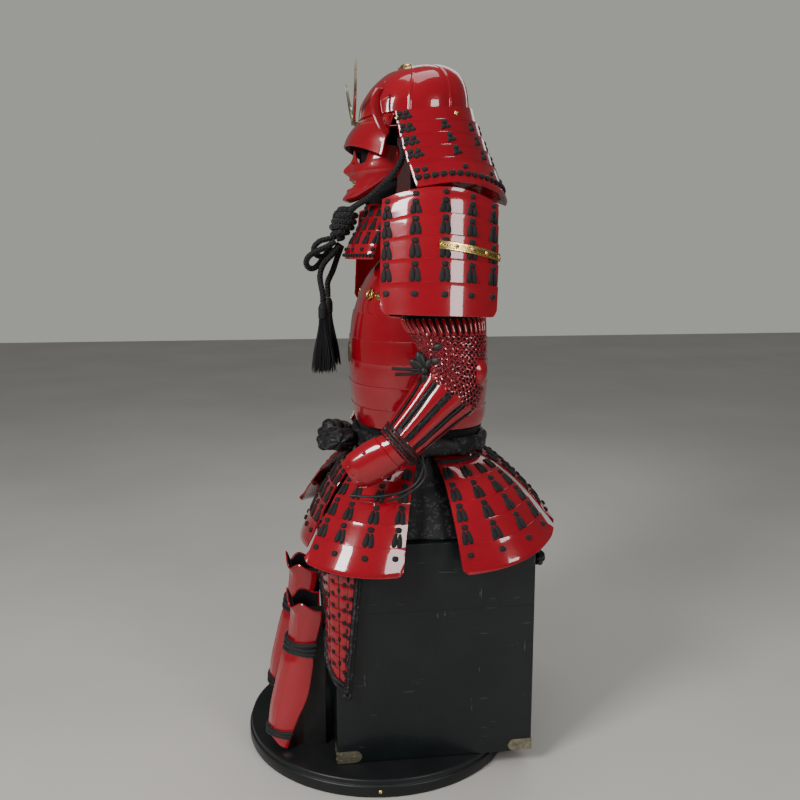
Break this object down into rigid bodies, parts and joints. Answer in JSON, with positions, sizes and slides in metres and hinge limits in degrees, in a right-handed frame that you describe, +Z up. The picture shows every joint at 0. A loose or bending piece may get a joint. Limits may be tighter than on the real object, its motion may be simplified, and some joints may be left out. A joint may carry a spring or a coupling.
{
  "type": "samurai armour on its armour chest and round base",
  "caption": "Laced plate armour with helmet, face mask, sleeves, skirt panels and shin guards, displayed seated on its black armour chest on a round base.",
  "frame": {"origin": "centre of the round base's underside, on the floor", "axes": "+Z up along the armour's height; the figure faces -Y and its left side is +X"},
  "size_m": [0.618, 0.6539, 1.4253],
  "materials": {
    "red_lacquer": "gloss lacquer",
    "sleeve_mail": "cloth sleeve with lacquered mail",
    "sleeve_splints": "gloss splints on black brocade",
    "apron_cloth": "cloth with small lacquered plates",
    "gilt": "pierced, gilt",
    "pale_brass": "polished",
    "black_cord": "ribbed silk cord",
    "brocade": "black woven pattern",
    "black_leather": "matt",
    "black_lacquer": "black lacquer, scuffed",
    "stand_wood": "plain"
  },
  "bodies": {
    "root": {"helmet_bowl": "red_lacquer", "helmet_peak": "red_lacquer", "turnback_left": "red_lacquer", "turnback_right": "red_lacquer", "neck_guard": "red_lacquer", "face_mask": "red_lacquer", "throat_guard": "red_lacquer", "cuirass_front": "red_lacquer", "cuirass_back": "red_lacquer", "strap_left": "red_lacquer", "strap_right": "red_lacquer", "shoulder_guard_left": "red_lacquer", "shoulder_guard_right": "red_lacquer", "elbow_plate_left": "red_lacquer", "elbow_plate_right": "red_lacquer", "hand_guard_left": "red_lacquer", "hand_guard_right": "red_lacquer", "skirt_panel_front": "red_lacquer", "skirt_panel_side_left": "red_lacquer", "skirt_panel_side_right": "red_lacquer", "skirt_panel_hip_left": "red_lacquer", "skirt_panel_hip_right": "red_lacquer", "skirt_panel_back_left": "red_lacquer", "skirt_panel_back_right": "red_lacquer", "shin_guard_left": "red_lacquer", "shin_guard_right": "red_lacquer", "sleeve_upper_left": "sleeve_mail", "sleeve_upper_right": "sleeve_mail", "sleeve_lower_left": "sleeve_splints", "sleeve_lower_right": "sleeve_splints", "apron_left": "apron_cloth", "apron_right": "apron_cloth", "crown_ornament": "gilt", "gilt_bar_left": "gilt", "gilt_bar_right": "gilt", "crest_horns": "pale_brass", "chin_cord_left": "black_cord", "chin_cord_right": "black_cord", "cord_loop": "black_cord", "cord_tail_left": "black_cord", "cord_tail_right": "black_cord", "cord_knot": "black_cord", "tassel_left": "black_cord", "tassel_right": "black_cord", "waist_lacing": "black_cord", "shoulder_cord_left": "black_cord", "shoulder_cord_right": "black_cord", "sash_roll": "brocade", "sash_bow": "brocade", "waist_cloth": "brocade", "wrist_tie_left": "black_leather", "wrist_tie_right": "black_leather", "stand_shin_left": "black_leather", "stand_shin_right": "black_leather", "base_disc": "black_lacquer", "chest_body": "black_lacquer", "chest_lid": "black_lacquer", "stand_post": "stand_wood", "stand_head": "stand_wood"}
  },
  "joints": []
}
